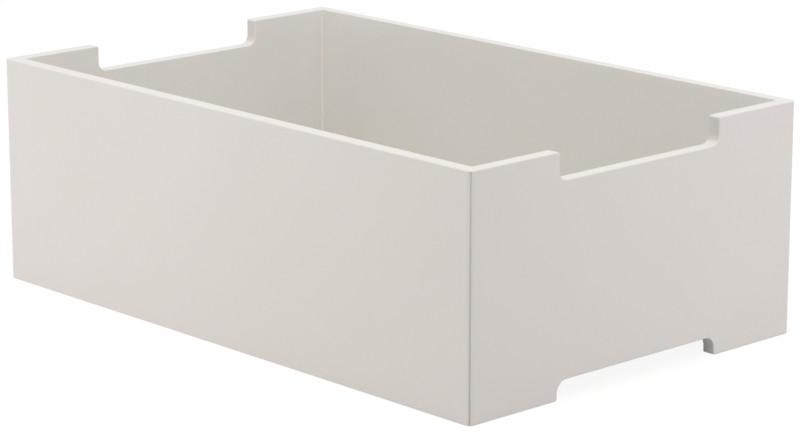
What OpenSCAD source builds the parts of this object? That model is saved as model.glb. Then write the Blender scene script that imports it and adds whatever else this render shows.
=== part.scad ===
// Stackable open box of lacquered board. Four mitred walls stand round a floor that is held in a groove.
// Each end wall has a hand-hold in its rim and a gap of the same width between its feet, so that two
// stacked boxes leave a grip between them. Biscuits glued across the mitres hold the upright corners.
// Millimetres, +Z up. The origin is at the middle of the box, level with the feet.

/* [Box] */
// Outside length, along X
box_length = 590; // [400:10:800]
// Outside width, along Y
box_width = 375; // [300:5:500]
// Outside height, which is also the pitch of a stack
box_height = 200; // [170:5:300]

/* [Walls] */
// Thickness of the four walls
wall_t = 12; // [11:0.5:18]
// Rounding of the rims, the feet and the edges of the openings
edge_r = 1; // [0.5:0.25:1.5]
// Rounding of the four upright outer corners, seen from above
corner_r = 5; // [2:0.25:8]
// Depth of the groove along the seam of each mitre, below the rounded corner
seam_depth = 0.9; // [0.5:0.05:1.5]

/* [Hand-holds and feet] */
// Width of a hand-hold, and of the gap between the feet below it
opening_width = 184; // [120:1:220]
// Depth of a hand-hold below the rim
grip_depth = 23; // [16:1:40]
// Radius in the lower corners of a hand-hold
grip_corner_r = 8; // [4:0.5:12]
// Height of the gap between the feet
foot_height = 16; // [12:0.5:20]
// Radius in the upper corners of the gap between the feet
foot_corner_r = 10.5; // [4:0.5:14]
// Radius where the wall of an opening turns into the rim or into the foot
lip_r = 2; // [1.75:0.25:6]

/* [Floor] */
// Thickness of the floor
floor_t = 8; // [6:0.5:12]
// Height of the floor's underside above the feet
floor_lift = 24; // [22:1:40]
// Depth of the groove in the walls
groove_depth = 6; // [4:0.5:7]
// Gap between the floor's edge and the bottom of the groove
floor_edge_gap = 0.5; // [0.25:0.25:1]
// Gap between the floor's top and the groove
floor_top_gap = 0.2; // [0.1:0.1:0.5]

/* [Mitre biscuits] */
// Length of a biscuit, along the upright corner
biscuit_length = 38; // [28:1:42]
// Width of a biscuit, across the mitre
biscuit_width = 12; // [10:0.5:13]
// Thickness of a biscuit
biscuit_t = 3; // [2:0.25:4]
// Width of a biscuit's blunt tips
biscuit_tip = 3; // [2:0.5:5]
// Gap between the edge of a biscuit and the end of its slot
biscuit_end_gap = 0.5; // [0.25:0.25:1]
// Gap between each face of a biscuit and its slot
biscuit_face_gap = 0.1; // [0.05:0.05:0.2]
// Distance from the inner faces of the walls to a biscuit's middle
biscuit_setback = 3; // [3:0.25:4]
// Wood left between the floor's groove and the slot above it
groove_web = 6; // [4:1:12]
// Wood left between the rim and the slot below it
rim_web = 26; // [12:1:30]

/* [Hidden] */
$fn = 64;
// How far a cutter runs past the face that it leaves
spare = 1;

// Distance from the middle of the box to the outer faces of the end walls and of the long walls
half_length = box_length / 2;
half_width = box_width / 2;

// How far the groove along a seam reaches in from the outer faces
seam_inset = corner_r * (1 - sqrt(1 / 2)) + seam_depth * sqrt(1 / 2);

// A fillet is never larger than the wall that carries it
grip_fillet = min(grip_corner_r, grip_depth - lip_r - spare);
foot_fillet = min(foot_corner_r, foot_height - lip_r - spare);

groove_inset = wall_t - groove_depth;
groove_height = floor_t + floor_top_gap;
floor_inset = groove_inset + floor_edge_gap;

// A biscuit's edge and its slot's end are arcs, given by their half length and their rise at the middle
function arc_radius(half_chord, rise) = (half_chord * half_chord + rise * rise) / (2 * rise);
biscuit_rise = (biscuit_width - biscuit_tip) / 2;
biscuit_arc_r = arc_radius(biscuit_length / 2, biscuit_rise);
slot_arc_r = arc_radius(biscuit_length / 2 + biscuit_end_gap, biscuit_rise);
slot_depth = biscuit_width / 2 + biscuit_end_gap;
slot_half = sqrt(pow(slot_arc_r, 2) - pow(slot_arc_r - slot_depth, 2));
slot_t = biscuit_t + 2 * biscuit_face_gap;

LOW = floor_lift + groove_height + groove_web + slot_half;
HIGH = box_height - rim_web - slot_half;
LEFT = -1;
RIGHT = 1;
FRONT = -1;
BACK = 1;

LACQUER = [0.86, 0.84, 0.81];
FLOOR_LACQUER = [0.80, 0.78, 0.75];
BEECH = [0.80, 0.63, 0.44];

// ---- Placing ----

// Takes what is drawn at the back right corner to another corner
module at_corner(x_side, y_side) {
    mirror([x_side == LEFT ? 1 : 0, 0, 0])
        mirror([0, y_side == FRONT ? 1 : 0, 0])
            children();
}

// Turns a drawing in X and Y so that it stands in Y and Z, and its thickness runs along X
module stand_across() {
    rotate([90, 0, 90]) children();
}

// Turns a drawing in X and Y so that it stands in X and Z, centred along Y
module stand_along() {
    rotate([90, 0, 0]) children();
}

// ---- Rounded edges ----

// What is cut off an edge to leave it rounded: X and Y run into the board from its two faces
module edge_cut() {
    difference() {
        translate([-spare, -spare]) square(edge_r + spare);
        translate([edge_r, edge_r]) circle(edge_r);
    }
}

// Edge cut along a straight run that starts at the origin and goes up Y, with the board towards +X
module straight_edge(run) {
    rotate([-90, 0, 0])
        mirror([0, 1, 0])
            linear_extrude(run) edge_cut();
}

// Edge cut along a quarter turn about the origin, with the board outside the arc
module hollow_edge(r) {
    rotate_extrude(angle = 90)
        translate([r, 0]) edge_cut();
}

// Edge cut along a quarter turn about the origin, with the board inside the arc
module proud_edge(r) {
    rotate_extrude(angle = 90)
        translate([r, 0]) mirror([1, 0]) edge_cut();
}

// ---- Boards ----

// Rectangle with its lower left corner at the origin and all four corners rounded
module rounded_rectangle(width, height, r) {
    translate([r, 0]) square([width - 2 * r, height]);
    translate([0, r]) square([width, height - 2 * r]);
    for (x = [r, width - r], y = [r, height - r])
        translate([x, y]) circle(r);
}

// Section of a wall: its rim and its foot are rounded on both faces
module wall_section() {
    rounded_rectangle(wall_t, box_height, edge_r);
}

// Groove for the floor, cut in the section of a wall whose inner face is at the far side
module groove_section() {
    translate([groove_inset, floor_lift]) square([groove_depth + spare, groove_height]);
}

// Keeps the part of a wall that lies between its two mitres and inside the rounded upright corners
module between_mitres(outer_length, half_depth) {
    linear_extrude(box_height) intersection() {
        polygon([
            [-outer_length / 2, half_depth],
            [outer_length / 2, half_depth],
            [outer_length / 2 - wall_t, half_depth - wall_t],
            [-outer_length / 2 + wall_t, half_depth - wall_t]
        ]);
        translate([-outer_length / 2, half_depth - 2 * corner_r - wall_t])
            rounded_rectangle(outer_length, 2 * corner_r + wall_t, corner_r);
    }
}

// Cutters for a wall's half of the groove along each seam, which ends where the rim and the foot are rounded
module seam_grooves(outer_length, half_depth) {
    for (side = [0, 1])
        mirror([side, 0, 0])
            translate([outer_length / 2 - seam_inset, half_depth - seam_inset, edge_r])
                cube([seam_inset + spare, seam_inset + spare, box_height - 2 * edge_r]);
}

// Cutters that lead the rounding of the rim and of the foot round both upright corners of a wall
module corner_edges(outer_length, half_depth) {
    for (side = [0, 1])
        mirror([side, 0, 0])
            translate([outer_length / 2 - corner_r, half_depth - corner_r, 0]) {
                proud_edge(corner_r);
                translate([0, 0, box_height]) mirror([0, 0, 1]) proud_edge(corner_r);
            }
}

// Plain wall at the back: its outer face lies at +half_depth and its inner face is grooved
module mitred_wall(outer_length, half_depth) {
    difference() {
        intersection() {
            translate([0, half_depth, 0])
                mirror([0, 1, 0])
                    stand_across()
                        linear_extrude(outer_length, center = true)
                            difference() {
                                wall_section();
                                groove_section();
                            }
            between_mitres(outer_length, half_depth);
        }
        corner_edges(outer_length, half_depth);
        seam_grooves(outer_length, half_depth);
    }
}

// ---- Biscuits ----

// Frame of a biscuit at the back right corner: X runs across the mitre, from the back wall to the end
// wall, and Y runs up the corner
module at_mitre(height) {
    translate([
        half_length - wall_t + biscuit_setback,
        half_width - wall_t + biscuit_setback,
        height
    ])
        rotate([0, 0, -45])
            stand_along()
                children();
}

module biscuit(x_side, y_side, height) {
    offset_x = biscuit_arc_r - biscuit_width / 2;
    color(BEECH) at_corner(x_side, y_side) at_mitre(height)
        linear_extrude(biscuit_t, center = true)
            intersection() {
                translate([offset_x, 0]) circle(biscuit_arc_r);
                translate([-offset_x, 0]) circle(biscuit_arc_r);
                square([biscuit_width, biscuit_length], center = true);
            }
}

// Disc cutter that sinks one slot into the wall on the given side of the mitre
module slot_cutter(wall_side, height) {
    at_mitre(height)
        translate([-wall_side * (slot_arc_r - slot_depth), 0])
            linear_extrude(slot_t, center = true)
                circle(slot_arc_r);
}

// All the slots of one wall; wall_side is LEFT for a long wall and RIGHT for an end wall
module slots(wall_side, corners) {
    for (corner = corners, height = [LOW, HIGH])
        at_corner(corner[0], corner[1]) slot_cutter(wall_side, height);
}

// ---- Openings of the end walls ----

// Outline of an opening that is cut down from the origin: fillets below, rounded lips at the mouth
module opening_outline(depth, fillet) {
    half = opening_width / 2;
    translate([-half, -depth])
        rounded_rectangle(opening_width, depth + fillet + spare, fillet);
    for (side = [0, 1])
        mirror([side, 0])
            translate([half - spare, -lip_r])
                difference() {
                    square([lip_r + spare, lip_r + spare]);
                    translate([lip_r + spare, 0]) circle(lip_r);
                }
}

// Edge cuts along one face of an opening: lip, wall and fillet on each side, and the level run between
module opening_edges(depth, fillet) {
    half = opening_width / 2;
    for (side = [0, 1])
        mirror([side, 0, 0]) {
            translate([half + lip_r, -lip_r, 0]) rotate([0, 0, 90]) proud_edge(lip_r);
            translate([half, -depth + fillet, 0]) straight_edge(depth - fillet - lip_r);
            translate([half - fillet, -depth + fillet, 0]) rotate([0, 0, -90]) hollow_edge(fillet);
        }
    translate([-half + fillet, -depth, 0])
        rotate([0, 0, -90])
            straight_edge(opening_width - 2 * fillet);
}

// Cutter for a whole opening: straight through the board, with both its edges rounded
module opening_cutter(depth, fillet) {
    translate([0, 0, -spare])
        linear_extrude(wall_t + 2 * spare) opening_outline(depth, fillet);
    opening_edges(depth, fillet);
    translate([0, 0, wall_t]) mirror([0, 0, 1]) opening_edges(depth, fillet);
}

// End wall at the right, with its outer face at +half_length
module right_end() {
    difference() {
        rotate([0, 0, -90]) mitred_wall(box_width, half_length);
        translate([half_length - wall_t, 0, box_height])
            stand_across() opening_cutter(grip_depth, grip_fillet);
        translate([half_length - wall_t, 0, 0])
            stand_across() mirror([0, 1, 0]) opening_cutter(foot_height, foot_fillet);
        slots(RIGHT, [[RIGHT, FRONT], [RIGHT, BACK]]);
    }
}

// Long wall at the back, with its outer face at +half_width
module back_wall() {
    difference() {
        mitred_wall(box_length, half_width);
        slots(LEFT, [[LEFT, BACK], [RIGHT, BACK]]);
    }
}

// ---- Pieces ----

module front_panel() {
    color(LACQUER) mirror([0, 1, 0]) back_wall();
}

module back_panel() {
    color(LACQUER) back_wall();
}

module left_end_panel() {
    color(LACQUER) mirror([1, 0, 0]) right_end();
}

module right_end_panel() {
    color(LACQUER) right_end();
}

module floor_panel() {
    color(FLOOR_LACQUER)
        translate([-half_length + floor_inset, -half_width + floor_inset, floor_lift])
            cube([box_length - 2 * floor_inset, box_width - 2 * floor_inset, floor_t]);
}

front_panel();
back_panel();
left_end_panel();
right_end_panel();
floor_panel();
biscuit(LEFT, FRONT, LOW);  // biscuit_front_left_low
biscuit(LEFT, FRONT, HIGH);  // biscuit_front_left_high
biscuit(RIGHT, FRONT, LOW);  // biscuit_front_right_low
biscuit(RIGHT, FRONT, HIGH);  // biscuit_front_right_high
biscuit(LEFT, BACK, LOW);  // biscuit_back_left_low
biscuit(LEFT, BACK, HIGH);  // biscuit_back_left_high
biscuit(RIGHT, BACK, LOW);  // biscuit_back_right_low
biscuit(RIGHT, BACK, HIGH);  // biscuit_back_right_high
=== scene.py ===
import math
import bpy
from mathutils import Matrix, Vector


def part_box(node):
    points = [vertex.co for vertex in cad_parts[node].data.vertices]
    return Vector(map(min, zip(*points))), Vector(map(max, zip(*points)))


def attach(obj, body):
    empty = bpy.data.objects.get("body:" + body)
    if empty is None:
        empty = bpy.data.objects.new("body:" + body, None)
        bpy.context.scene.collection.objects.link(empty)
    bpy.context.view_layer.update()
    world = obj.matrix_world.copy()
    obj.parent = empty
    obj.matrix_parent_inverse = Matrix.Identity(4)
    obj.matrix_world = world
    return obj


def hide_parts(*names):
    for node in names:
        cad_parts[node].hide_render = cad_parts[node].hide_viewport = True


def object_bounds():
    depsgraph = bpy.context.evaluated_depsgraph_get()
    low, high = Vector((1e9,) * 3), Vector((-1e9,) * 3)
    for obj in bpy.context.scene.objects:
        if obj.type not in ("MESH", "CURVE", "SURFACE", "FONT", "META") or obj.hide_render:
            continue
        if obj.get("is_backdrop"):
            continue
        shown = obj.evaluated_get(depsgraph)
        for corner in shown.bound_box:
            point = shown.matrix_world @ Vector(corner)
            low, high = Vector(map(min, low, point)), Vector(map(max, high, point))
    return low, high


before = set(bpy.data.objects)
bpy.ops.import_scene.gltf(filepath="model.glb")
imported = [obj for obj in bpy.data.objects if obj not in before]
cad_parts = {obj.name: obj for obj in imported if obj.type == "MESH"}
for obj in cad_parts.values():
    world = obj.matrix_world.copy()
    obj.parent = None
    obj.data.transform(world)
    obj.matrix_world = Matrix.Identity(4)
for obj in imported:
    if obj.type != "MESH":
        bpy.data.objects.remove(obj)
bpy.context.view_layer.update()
print("frame loaded,", len(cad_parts), "nodes")

mm = 0.001
sameSpot = 0.02 * mm             # places nearer than this count as one
sliver = 0.005 * mm              # faces and edges smaller than this are cleared away
sharpEdge = math.radians(60)     # edges that bend more than this are eased
discSides = 160

# sizes that every board shares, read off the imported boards

frontLow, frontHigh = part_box("front_panel")
floorLow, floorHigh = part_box("floor_panel")

box = {
    "halfLength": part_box("right_end_panel")[1].x,
    "halfWidth": -frontLow.y,
    "height": frontHigh.z,
    "wall": frontHigh.y - frontLow.y,
}


def makeActive(piece):
    bpy.ops.object.select_all(action="DESELECT")
    piece.select_set(True)
    bpy.context.view_layer.objects.active = piece


def applyPlace(piece):
    makeActive(piece)
    bpy.ops.object.transform_apply(location=True, rotation=True, scale=True)


def addBlock(name, low, high):
    low, high = Vector(low), Vector(high)
    bpy.ops.object.select_all(action="DESELECT")
    bpy.ops.mesh.primitive_cube_add(size=1, location=(low + high) / 2, scale=high - low)
    block = bpy.context.object
    block.name = block.data.name = name
    applyPlace(block)
    return block


def addDisc(name, radius, thickness, centre, turn=0.0):
    # stands on its rim; its axis is -Y, turned about Z
    bpy.ops.object.select_all(action="DESELECT")
    bpy.ops.mesh.primitive_cylinder_add(vertices=discSides, radius=radius, depth=thickness,
                                        location=centre, rotation=(math.pi / 2, 0, turn))
    disc = bpy.context.object
    disc.name = disc.data.name = name
    applyPlace(disc)
    return disc


def edgeBends(mesh):
    # angle between the two faces that meet at each edge
    normals = {}
    for face in mesh.polygons:
        for key in face.edge_keys:
            normals.setdefault(key, []).append(face.normal)
    return {key: pair[0].angle(pair[-1], 0) for key, pair in normals.items()}


def pickEdges(piece, wanted):
    # wanted(start, end, bend) says whether an edge is picked; leaves the piece in edit mode
    makeActive(piece)
    bpy.context.tool_settings.mesh_select_mode = (False, True, False)
    bpy.ops.object.mode_set(mode="EDIT")
    bpy.ops.mesh.select_all(action="DESELECT")
    bpy.ops.object.mode_set(mode="OBJECT")
    mesh = piece.data
    bends = edgeBends(mesh)
    for edge in mesh.edges:
        start, end = (mesh.vertices[i].co for i in edge.vertices)
        edge.select = wanted(start, end, bends[edge.key])
    bpy.ops.object.mode_set(mode="EDIT")


def roundEdges(piece, offset, segments, wanted):
    pickEdges(piece, wanted)
    bpy.ops.mesh.bevel(offset=offset, offset_type="OFFSET", segments=segments, profile=0.5,
                       affect="EDGES", clamp_overlap=False)
    bpy.ops.object.mode_set(mode="OBJECT")


def slideEdges(piece, step, wanted):
    pickEdges(piece, wanted)
    bpy.ops.transform.translate(value=step)
    bpy.ops.object.mode_set(mode="OBJECT")


def cutAway(piece, point, direction):
    # all that lies past the plane goes, and the cut is closed
    makeActive(piece)
    bpy.ops.object.mode_set(mode="EDIT")
    bpy.ops.mesh.select_all(action="SELECT")
    bpy.ops.mesh.bisect(plane_co=point, plane_no=direction, use_fill=True, clear_outer=True)
    bpy.ops.object.mode_set(mode="OBJECT")


def carve(piece, cutter, operation="DIFFERENCE"):
    makeActive(piece)
    bpy.ops.object.modifier_add(type="BOOLEAN")
    modifier = piece.modifiers[-1]
    modifier.operation = operation
    modifier.solver = "EXACT"
    modifier.object = cutter
    bpy.ops.object.modifier_apply(modifier=modifier.name)
    bpy.data.objects.remove(cutter)


def clearSlivers(piece):
    # what is too small to see goes, and its neighbours are joined up
    makeActive(piece)
    bpy.ops.object.mode_set(mode="EDIT")
    bpy.ops.mesh.select_all(action="SELECT")
    bpy.ops.mesh.dissolve_degenerate(threshold=sliver)
    bpy.ops.object.mode_set(mode="OBJECT")


def smoothShading(piece, sharpest=30):
    clearSlivers(piece)
    bpy.ops.object.shade_smooth_by_angle(angle=math.radians(sharpest))
    bpy.ops.object.modifier_add(type="WEIGHTED_NORMAL")
    modifier = piece.modifiers[-1]
    modifier.keep_sharp = True
    bpy.ops.object.modifier_apply(modifier=modifier.name)


def turn(piece, angle):
    # about the middle of the box; with no window the operator turns the other way
    makeActive(piece)
    bpy.ops.transform.rotate(value=-angle, orient_axis="Z", center_override=(0, 0, 0))
    applyPlace(piece)


def copyOf(piece, name):
    makeActive(piece)
    bpy.ops.object.duplicate(linked=False)
    twin = bpy.context.object
    twin.name = twin.data.name = name
    return twin


def near(a, b):
    return abs(a - b) < sameSpot


class Wire:
    # a socket that can be added, multiplied and so on

    def __init__(self, finish, socket):
        self.finish = finish
        self.socket = socket

    def maths(self, operation, *values):
        return self.finish.node("ShaderNodeMath", 0, {"operation": operation}, dict(enumerate(values)))

    def __add__(self, other):
        return self.maths("ADD", self, other)

    def __sub__(self, other):
        return self.maths("SUBTRACT", self, other)

    def __rsub__(self, other):
        return self.maths("SUBTRACT", other, self)

    def __mul__(self, other):
        return self.maths("MULTIPLY", self, other)

    def __abs__(self):
        return self.maths("ABSOLUTE", self)

    def below(self, other):
        return self.maths("MINIMUM", self, other)

    def above(self, other):
        return self.maths("MAXIMUM", self, other)

    __radd__ = __add__
    __rmul__ = __mul__


class Finish:
    # the nodes that feed the surface of a material, or the background of a world

    def __init__(self, owner, surface="Principled BSDF"):
        owner.use_nodes = True
        self.owner = owner
        self.tree = owner.node_tree
        self.surface = self.tree.nodes[surface]

    def node(self, kind, output, settings, inputs):
        made = self.tree.nodes.new(kind)
        for key, value in settings.items():
            setattr(made, key, value)
        for key, value in inputs.items():
            self.feed(made.inputs[key], value)
        return Wire(self, made.outputs[output])

    def feed(self, socket, value):
        if isinstance(value, Wire):
            self.tree.links.new(value.socket, socket)
        else:
            socket.default_value = value

    def set(self, **values):
        for name, value in values.items():
            self.feed(self.surface.inputs[name.replace("_", " ")], value)

    def place(self):
        return self.node("ShaderNodeTexCoord", "Object", {}, {})

    def looking(self):
        # 1 where the camera looks, straight, in a gloss or through a glass, and 0 for the light
        straight = self.node("ShaderNodeLightPath", "Is Camera Ray", {}, {})
        rays = straight.socket.node.outputs
        return straight.above(Wire(self, rays["Is Glossy Ray"])) \
            .above(Wire(self, rays["Is Transmission Ray"]))

    def axes(self, vector):
        split = self.node("ShaderNodeSeparateXYZ", "X", {}, {"Vector": vector})
        return [Wire(self, output) for output in split.socket.node.outputs]

    def facing(self):
        return self.node("ShaderNodeTexCoord", "Normal", {}, {})

    def noise(self, vector, scale, detail=2, roughness=0.5):
        return self.node("ShaderNodeTexNoise", "Fac", {},
                         {"Vector": vector, "Scale": scale, "Detail": detail, "Roughness": roughness})

    def stretch(self, vector, amounts):
        return self.node("ShaderNodeMapping", "Vector", {}, {"Vector": vector, "Scale": amounts})

    def blend(self, factor, first, second):
        return self.node("ShaderNodeMix", 2, {"data_type": "RGBA"}, {0: factor, 6: first, 7: second})

    def tint(self, factor, colour, tone):
        return self.node("ShaderNodeMix", 2, {"data_type": "RGBA", "blend_type": "MULTIPLY"},
                         {0: factor, 6: colour, 7: tone})

    def ramp(self, value, low, high, start=0.0, end=1.0):
        # from start at low to end at high, and level outside
        return self.node("ShaderNodeMapRange", "Result", {"interpolation_type": "SMOOTHSTEP"},
                         {"Value": value, "From Min": low, "From Max": high,
                          "To Min": start, "To Max": end})

    def fade(self, value, low, high):
        return self.ramp(value, low, high, 1.0, 0.0)

    def relief(self, height, depth):
        return self.node("ShaderNodeBump", "Normal", {}, {"Height": height, "Distance": depth})


def paint(red, green, blue):
    # screen values of 0 to 255, as light
    def light(value):
        value /= 255
        return value / 12.92 if value <= 0.04045 else ((value + 0.055) / 1.055) ** 2.4
    return (light(red), light(green), light(blue), 1)


# a pair of numbers is where a mark begins to change and where the change is done

lacquerLook = {
    "colour": paint(237, 231, 228),
    "warmer": paint(235, 228, 222),
    "driftScale": 3.5,
    "driftStep": (0.3, 0.7),
    "mottleScale": 60,
    "mottleShare": 0.25,

    # painted light: the tint of the inner faces stands in for the colour of the light inside the box
    "innerLightCast": (0.967, 0.999, 0.995, 1),
    "innerStep": (-0.8 * mm, -0.1 * mm),       # from the inner face
    # painted highlight: the colour of the light line up each inner corner and of the painted light beside
    # it
    "cornerHighlight": paint(255, 250, 246),
    "highlightLineWidth": (0.3 * mm, 2 * mm),
    "highlightLineShare": 0.5,
    "cornerLiftWidth": (0, 50 * mm),
    "cornerLiftShare": 0.25,

    # the colour of the dark seam joint, also used for the painted shade towards its foot
    "jointDustAndShade": paint(150, 142, 132),
    "dustWidth": (0.8 * mm, 1.7 * mm),
    "dustDepth": (2.4 * mm, 3.2 * mm),         # into the board
    "dustTop": (-1.5 * mm, -0.8 * mm),         # from the rim
    "dustAtRim": 0.08,
    # painted shade: how much darker the seam is painted towards the foot
    "paintedShadeAtFoot": 0.15,

    # painted shade for the upright end faces of the hand-holds
    "gripEndShade": (0.87, 0.87, 0.865, 1),
    "gripEndFacing": (0.6, 0.9),
    "gripEndInset": (30 * mm, 32 * mm),           # from the long walls
    "gripEndHeight": (0, 1 * mm),                 # from half the box's height

    # the colour of the worn edges, also used for the painted light on the upright eased edges
    "wearAndLight": paint(243, 240, 236),
    "wornScale": 35,
    "wornStep": (0.35, 0.65),
    "wornShare": 0.35,
    "easedBend": (0.80, 0.97),
    # painted light on the upright eased edges: how upright they must be, and how much lighter they are
    # painted
    "uprightLean": (0.1, 0.3),
    "uprightLightShare": 0.5,

    "roughness": 0.42,
    "hazeScale": 9,
    "hazeRoughness": 0.10,
    "mottleRoughness": 0.04,
    "wornSmoothness": 0.08,
    "dustRoughness": 0.2,
    "refraction": 1.47,
    "peelScale": 420,
    "peelDepth": 0.022 * mm,
    "gritScale": 2600,
    "gritShare": 0.25,
}


def shifted(pair, place):
    return [value + place for value in pair]


def lacquer(name, look):
    finish = Finish(bpy.data.materials.new(name))
    place = finish.place()
    x, y, z = finish.axes(place)
    nx, ny, nz = (abs(axis) for axis in finish.axes(finish.facing()))
    fromEnd = box["halfLength"] - abs(x)
    fromSide = box["halfWidth"] - abs(y)
    depth = fromEnd.below(fromSide)

    drift = finish.noise(place, look["driftScale"], detail=3)
    mottle = finish.noise(place, look["mottleScale"], detail=4, roughness=0.6)
    tone = finish.ramp(drift, *look["driftStep"]) * (1 - look["mottleShare"]) \
        + mottle * look["mottleShare"]
    colour = finish.blend(tone, look["colour"], look["warmer"])

    # painted light: the inner faces are tinted slightly greyer, which paints in the colour of the light
    # that falls inside the box
    inner = finish.ramp(depth, *shifted(look["innerStep"], box["wall"]))
    colour = finish.tint(inner, colour, look["innerLightCast"])

    # painted highlight: a light line runs up each inner corner, and the walls beside it are painted
    # lighter to lift the shade in the corner
    toCorner = fromEnd.above(fromSide) - box["wall"]
    cornerLift = finish.fade(toCorner, *look["cornerLiftWidth"])
    highlightLine = finish.fade(toCorner, *look["highlightLineWidth"])
    paintedCornerLight = inner * (cornerLift * look["cornerLiftShare"] + highlightLine * look["highlightLineShare"])
    colour = finish.blend(paintedCornerLight, colour, look["cornerHighlight"])

    # the upright seam at each corner is darkened as a dark joint with a little dust, and painted darker
    # towards the foot as painted shade
    seam = finish.fade(abs(fromEnd - fromSide), *look["dustWidth"]) \
        * finish.fade(depth, *look["dustDepth"]) \
        * finish.fade(z, *shifted(look["dustTop"], box["height"]))
    low = finish.fade(z, 0, box["height"])
    jointDustAndFootShade = seam * (low * look["paintedShadeAtFoot"] + look["dustAtRim"])
    colour = finish.blend(jointDustAndFootShade, colour, look["jointDustAndShade"])

    # painted shade: the upright end faces of the hand-holds are painted darker, as if less light reached
    # them
    paintedGripShade = finish.ramp(ny, *look["gripEndFacing"]) * finish.ramp(fromSide, *look["gripEndInset"]) \
        * finish.ramp(z, *shifted(look["gripEndHeight"], box["height"] / 2))
    colour = finish.tint(paintedGripShade, colour, look["gripEndShade"])

    # eased edges are rubbed a little lighter and smoother in patches of wear, and the upright eased edges
    # are painted lighter throughout as painted light, lifting the shade on their rounding
    eased = finish.fade(nx.above(ny).above(nz), *look["easedBend"])
    patches = finish.noise(place, look["wornScale"], detail=3)
    rubbed = eased * finish.ramp(patches, *look["wornStep"])
    paintedUprightLight = eased * finish.fade(nz, *look["uprightLean"])
    wearAndLight = rubbed * look["wornShare"] + paintedUprightLight * look["uprightLightShare"]
    colour = finish.blend(wearAndLight, colour, look["wearAndLight"])

    haze = finish.noise(place, look["hazeScale"], detail=4, roughness=0.55)
    roughness = look["roughness"] + haze * look["hazeRoughness"] + mottle * look["mottleRoughness"] \
        - rubbed * look["wornSmoothness"] + seam * look["dustRoughness"]
    peel = finish.noise(place, look["peelScale"])
    grit = finish.noise(place, look["gritScale"], detail=1)
    normal = finish.relief(peel + grit * look["gritShare"], look["peelDepth"])
    finish.set(Base_Color=colour, Roughness=roughness, Normal=normal, IOR=look["refraction"])
    return finish.owner


beechLook = {
    "pale": paint(214, 178, 133),
    "dark": paint(178, 136, 92),
    "grainScale": 30,
    "grainStep": (0.35, 0.65),
    "streakStretch": (12, 12, 1),
    "fleckStretch": (60, 60, 6),
    "fleckShare": 0.3,
    "fleckDepth": 0.08 * mm,
    "roughness": 0.62,
    "fleckRoughness": 0.15,
}


def beech(name, look):
    finish = Finish(bpy.data.materials.new(name))
    place = finish.place()
    streaks = finish.noise(finish.stretch(place, look["streakStretch"]), look["grainScale"],
                           detail=4, roughness=0.6)
    flecks = finish.noise(finish.stretch(place, look["fleckStretch"]), look["grainScale"])
    grain = streaks * (1 - look["fleckShare"]) + flecks * look["fleckShare"]
    colour = finish.blend(finish.ramp(grain, *look["grainStep"]), look["pale"], look["dark"])
    roughness = look["roughness"] + flecks * look["fleckRoughness"]
    finish.set(Base_Color=colour, Roughness=roughness, Normal=finish.relief(flecks, look["fleckDepth"]))
    return finish.owner


# the four walls

wall = {
    "cornerRadius": 5 * mm,
    "cornerShare": 0.98,       # of the way to the mitre, which the rounding doesn't reach
    "edgeRadius": 1 * mm,
    "bevelSteps": 6,
    "seamDepth": 0.9 * mm,
    "grooveInset": 6 * mm,
    "grooveTopGap": 0.2 * mm,
    "slotRadius": 44.51 * mm,
    "slotDepth": 6.5 * mm,
    "slotThickness": 3.2 * mm,
    "biscuitSetback": 3 * mm,
    "spare": 2 * mm,
}

opening = {
    "width": 184 * mm,
    "gripDepth": 23 * mm,
    "gripCornerRadius": 8 * mm,
    "gripCornerSteps": 12,
    "footHeight": 16 * mm,
    "footCornerRadius": 10.5 * mm,
    "footCornerSteps": 14,
    "lipRadius": 2 * mm,
    "lipSteps": 9,
}


def biscuitHeight(level):
    low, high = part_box("biscuit_front_left_" + level)
    return (low.z + high.z) / 2


def isUpright(start, end):
    return near(start.x, end.x) and near(start.y, end.y)


def cutOpenings(board, outerY, innerY):
    # a hand-hold in the rim and a gap of the same width between the feet
    half = opening["width"] / 2
    top = box["height"]
    gripLow = top - opening["gripDepth"]
    carve(board, addBlock("cutter", (-half, outerY - wall["spare"], gripLow),
                          (half, innerY + wall["spare"], top + wall["spare"])))
    carve(board, addBlock("cutter", (-half, outerY - wall["spare"], -wall["spare"]),
                          (half, innerY + wall["spare"], opening["footHeight"])))

    def across(start, end, height):   # runs through the board at one corner of an opening
        return near(start.z, height) and near(end.z, height) and near(start.x, end.x) \
            and near(abs(start.x), half)

    for height, kind in [(gripLow, "gripCorner"), (opening["footHeight"], "footCorner"),
                         (top, "lip"), (0, "lip")]:
        roundEdges(board, opening[kind + "Radius"], opening[kind + "Steps"],
                   lambda start, end, bend: across(start, end, height))


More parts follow.
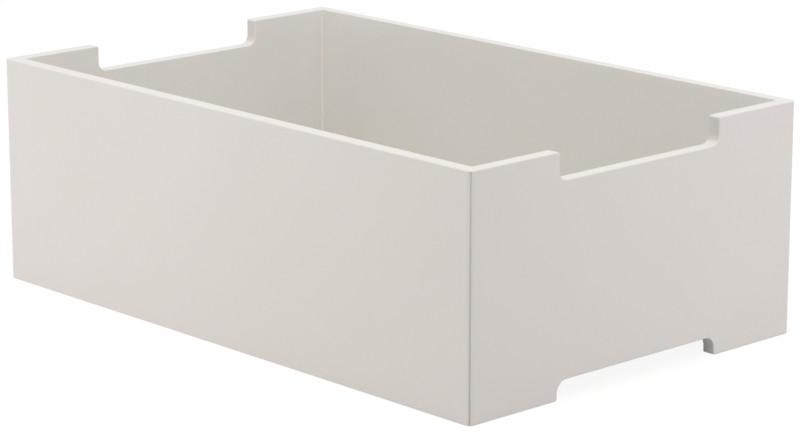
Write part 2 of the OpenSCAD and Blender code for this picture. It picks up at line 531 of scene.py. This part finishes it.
def addWall(name, halfLength, halfDepth, hasOpenings):
    # made at the front of the box, along X
    outerY = -halfDepth
    innerY = outerY + box["wall"]
    board = addBlock(name, (-halfLength, outerY, 0), (halfLength, innerY, box["height"]))

    def onMitre(point):
        return near(halfLength - abs(point.x), point.y - outerY)

    for side in (-1, 1):
        end = side * halfLength
        slideEdges(board, (-side * box["wall"], 0, 0), lambda a, b, bend: isUpright(a, b)
                   and near(a.x, end) and near(a.y, innerY))

    # the upright outer corner: each board has half of its rounding
    tipInset = wall["cornerRadius"] * (1 - math.sqrt(0.5))
    for side in (-1, 1):
        cutAway(board, (side * (halfLength - tipInset), outerY + tipInset, 0), (side, -1, 0))
    tangent = wall["cornerRadius"] * math.tan(math.pi / 8)
    roundEdges(board, wall["cornerShare"] * tangent, wall["bevelSteps"],
               lambda a, b, bend: isUpright(a, b) and near(a.y, outerY))

    if hasOpenings:
        cutOpenings(board, outerY, innerY)
    roundEdges(board, wall["edgeRadius"], wall["bevelSteps"],
               lambda a, b, bend: bend > sharpEdge and not (onMitre(a) and onMitre(b)))

    # groove along each seam, up to where the rim and the foot are rounded
    seamInset = tipInset + wall["seamDepth"] * math.sqrt(0.5)
    for side in (-1, 1):
        atSeam, past = side * (halfLength - seamInset), side * (halfLength + wall["spare"])
        carve(board, addBlock("cutter",
                              (min(atSeam, past), outerY - wall["spare"], wall["edgeRadius"]),
                              (max(atSeam, past), outerY + seamInset,
                               box["height"] - wall["edgeRadius"])))

    # groove that holds the floor, and slots for the biscuits
    inset = wall["grooveInset"]
    carve(board, addBlock("cutter", (-halfLength + inset, outerY + inset, floorLow.z),
                          (halfLength - inset, innerY + wall["spare"],
                           floorHigh.z + wall["grooveTopGap"])))
    reach = (wall["slotRadius"] - wall["slotDepth"]) * math.sqrt(0.5)
    fromFace = box["wall"] - wall["biscuitSetback"]
    for side in (-1, 1):
        for level in ("low", "high"):
            centre = (side * (halfLength - fromFace + reach), outerY + fromFace + reach,
                      biscuitHeight(level))
            carve(board, addDisc("cutter", wall["slotRadius"], wall["slotThickness"], centre,
                                 side * math.pi / 4))
    smoothShading(board)
    return board


def finishBoard(piece, node, material):
    piece.data.materials.clear()
    piece.data.materials.append(material)
    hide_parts(node)
    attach(piece, "root")


paintedBoard = lacquer("warmWhiteLacquer", lacquerLook)

front = addWall("frontWall", box["halfLength"], box["halfWidth"], False)
back = copyOf(front, "backWall")
turn(back, math.pi)
right = addWall("rightEnd", box["halfWidth"], box["halfLength"], True)
turn(right, math.pi / 2)
left = copyOf(right, "leftEnd")
turn(left, math.pi)
for piece, node in [(front, "front_panel"), (back, "back_panel"),
                    (right, "right_end_panel"), (left, "left_end_panel")]:
    finishBoard(piece, node, paintedBoard)
print("walls made")


# the floor

floorBoard = {
    "edgeRadius": 0.6 * mm,
    "bevelSteps": 3,
}

floorLook = dict(lacquerLook)
floorLook.update({
    "colour": paint(236, 228, 223),
    "warmer": paint(233, 224, 218),
    "driftScale": 2.5,
    "roughness": 0.5,
})

base = addBlock("floorBoard", floorLow, floorHigh)
roundEdges(base, floorBoard["edgeRadius"], floorBoard["bevelSteps"], lambda a, b, bend: True)
smoothShading(base)
finishBoard(base, "floor_panel", lacquer("floorLacquer", floorLook))
print("floor made")


# mitre biscuits

biscuit = {
    "width": 12 * mm,
    "thickness": 3 * mm,
    "tip": 3 * mm,
    "edgeBreak": 0.3 * mm,
    "bevelSteps": 2,
}


def addBiscuit(name, length):
    # upright at the origin, with its width along X
    rise = (biscuit["width"] - biscuit["tip"]) / 2
    radius = ((length / 2) ** 2 + rise ** 2) / (2 * rise)
    reach = radius - biscuit["width"] / 2
    lens = addDisc(name, radius, biscuit["thickness"], (reach, 0, 0))
    carve(lens, addDisc("cutter", radius, biscuit["thickness"] * 2, (-reach, 0, 0)), "INTERSECT")
    for side in (-1, 1):
        cutAway(lens, (0, 0, side * length / 2), (0, 0, side))
    roundEdges(lens, biscuit["edgeBreak"], biscuit["bevelSteps"], lambda a, b, bend: bend > sharpEdge)
    smoothShading(lens)
    return lens


pressedBeech = beech("pressedBeech", beechLook)
sampleLow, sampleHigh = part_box("biscuit_front_left_low")
pattern = addBiscuit("biscuitPattern", sampleHigh.z - sampleLow.z)
for sideY, rowName in ((-1, "front"), (1, "back")):
    for sideX, endName in ((-1, "left"), (1, "right")):
        for level in ("low", "high"):
            node = "biscuit_" + rowName + "_" + endName + "_" + level
            low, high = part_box(node)
            piece = copyOf(pattern, "biscuit" + rowName.title() + endName.title() + level.title())
            turn(piece, -sideX * sideY * math.pi / 4)
            makeActive(piece)
            bpy.ops.transform.translate(value=(low + high) / 2)
            applyPlace(piece)
            finishBoard(piece, node, pressedBeech)
bpy.data.objects.remove(pattern)
print("biscuits made")


# the studio: its floor, lights and camera

studio = {
    "floorSize": 14,
    "floorDrop": 0.05 * mm,
    "floorColour": paint(190, 189, 187),
    "floorRoughness": 0.9,
    "floorGlow": 1.19,       # with the share below it makes the open floor white
    "shadowShare": 0.24,
    "worldLight": 0.694,
    "worldColour": (0.98, 0.993, 1),
    "lampAim": (0, 0, 0.1),
}

softboxes = {
    "keySoftbox": {"place": (-0.38, -0.95, 0.1), "size": (0.7, 0.25), "power": 1.66,
                   "colour": (1, 0.965, 0.976)},
    "fillSoftbox": {"place": (0.85, 0.3, 0.12), "size": (0.6, 0.3), "power": 0.7,
                    "colour": (0.99, 0.966, 1)},
    "topSoftbox": {"place": (0.18, -0.18, 1.85), "size": (2, 2), "power": 13.2,
                   "colour": (0.988, 1, 0.951)},
}


def addStudioFloor():
    bpy.ops.object.select_all(action="DESELECT")
    bpy.ops.mesh.primitive_plane_add(size=studio["floorSize"], location=(0, 0, -studio["floorDrop"]))
    ground = bpy.context.object
    ground.name = "studioFloor"
    finish = Finish(bpy.data.materials.new("studioFloor"))
    finish.set(Base_Color=studio["floorColour"], Roughness=studio["floorRoughness"])
    glow = finish.node("ShaderNodeEmission", "Emission", {},
                       {"Color": (1, 1, 1, 1), "Strength": studio["floorGlow"]})
    share = finish.looking() * (1 - studio["shadowShare"])
    mixed = finish.node("ShaderNodeMixShader", "Shader", {},
                        {0: share, 1: Wire(finish, finish.surface.outputs["BSDF"]), 2: glow})
    finish.feed(finish.tree.nodes["Material Output"].inputs["Surface"], mixed)
    ground.data.materials.append(finish.owner)
    ground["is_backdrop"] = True


def addWorld():
    world = bpy.data.worlds.new("studio")
    bpy.context.scene.world = world
    sky = Finish(world, "Background")
    brighter = studio["worldLight"] + sky.looking() * (1 - studio["worldLight"])
    sky.set(Color=(*studio["worldColour"], 1), Strength=brighter)


def addSoftbox(name, settings):
    bpy.ops.object.select_all(action="DESELECT")
    place = Vector(settings["place"])
    aim = (Vector(studio["lampAim"]) - place).to_track_quat("-Z", "Y").to_euler()
    bpy.ops.object.light_add(type="AREA", location=place, rotation=aim)
    lamp = bpy.context.object
    lamp.name = name
    lamp.data.shape = "RECTANGLE"
    lamp.data.size, lamp.data.size_y = settings["size"]
    lamp.data.energy = settings["power"]
    lamp.data.color = settings["colour"]


addStudioFloor()
addWorld()
for name, settings in softboxes.items():
    addSoftbox(name, settings)

view = {
    "place": (1.8945, -1.7462, 0.7306),
    "tiltDown": 14.192,
    "heading": 47.095,
    "lens": 138.57,
    "sensorWidth": 36,
    "farthest": 100,
}
bpy.ops.object.camera_add(location=view["place"],
                          rotation=(math.radians(90 - view["tiltDown"]), 0, math.radians(view["heading"])))
camera = bpy.context.object
camera.name = "camera"
camera.data.lens = view["lens"]
camera.data.sensor_width = view["sensorWidth"]
camera.data.clip_end = view["farthest"]
bpy.context.scene.camera = camera
bpy.context.scene.view_settings.view_transform = "Standard"

low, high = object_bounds()
print("studio ready")
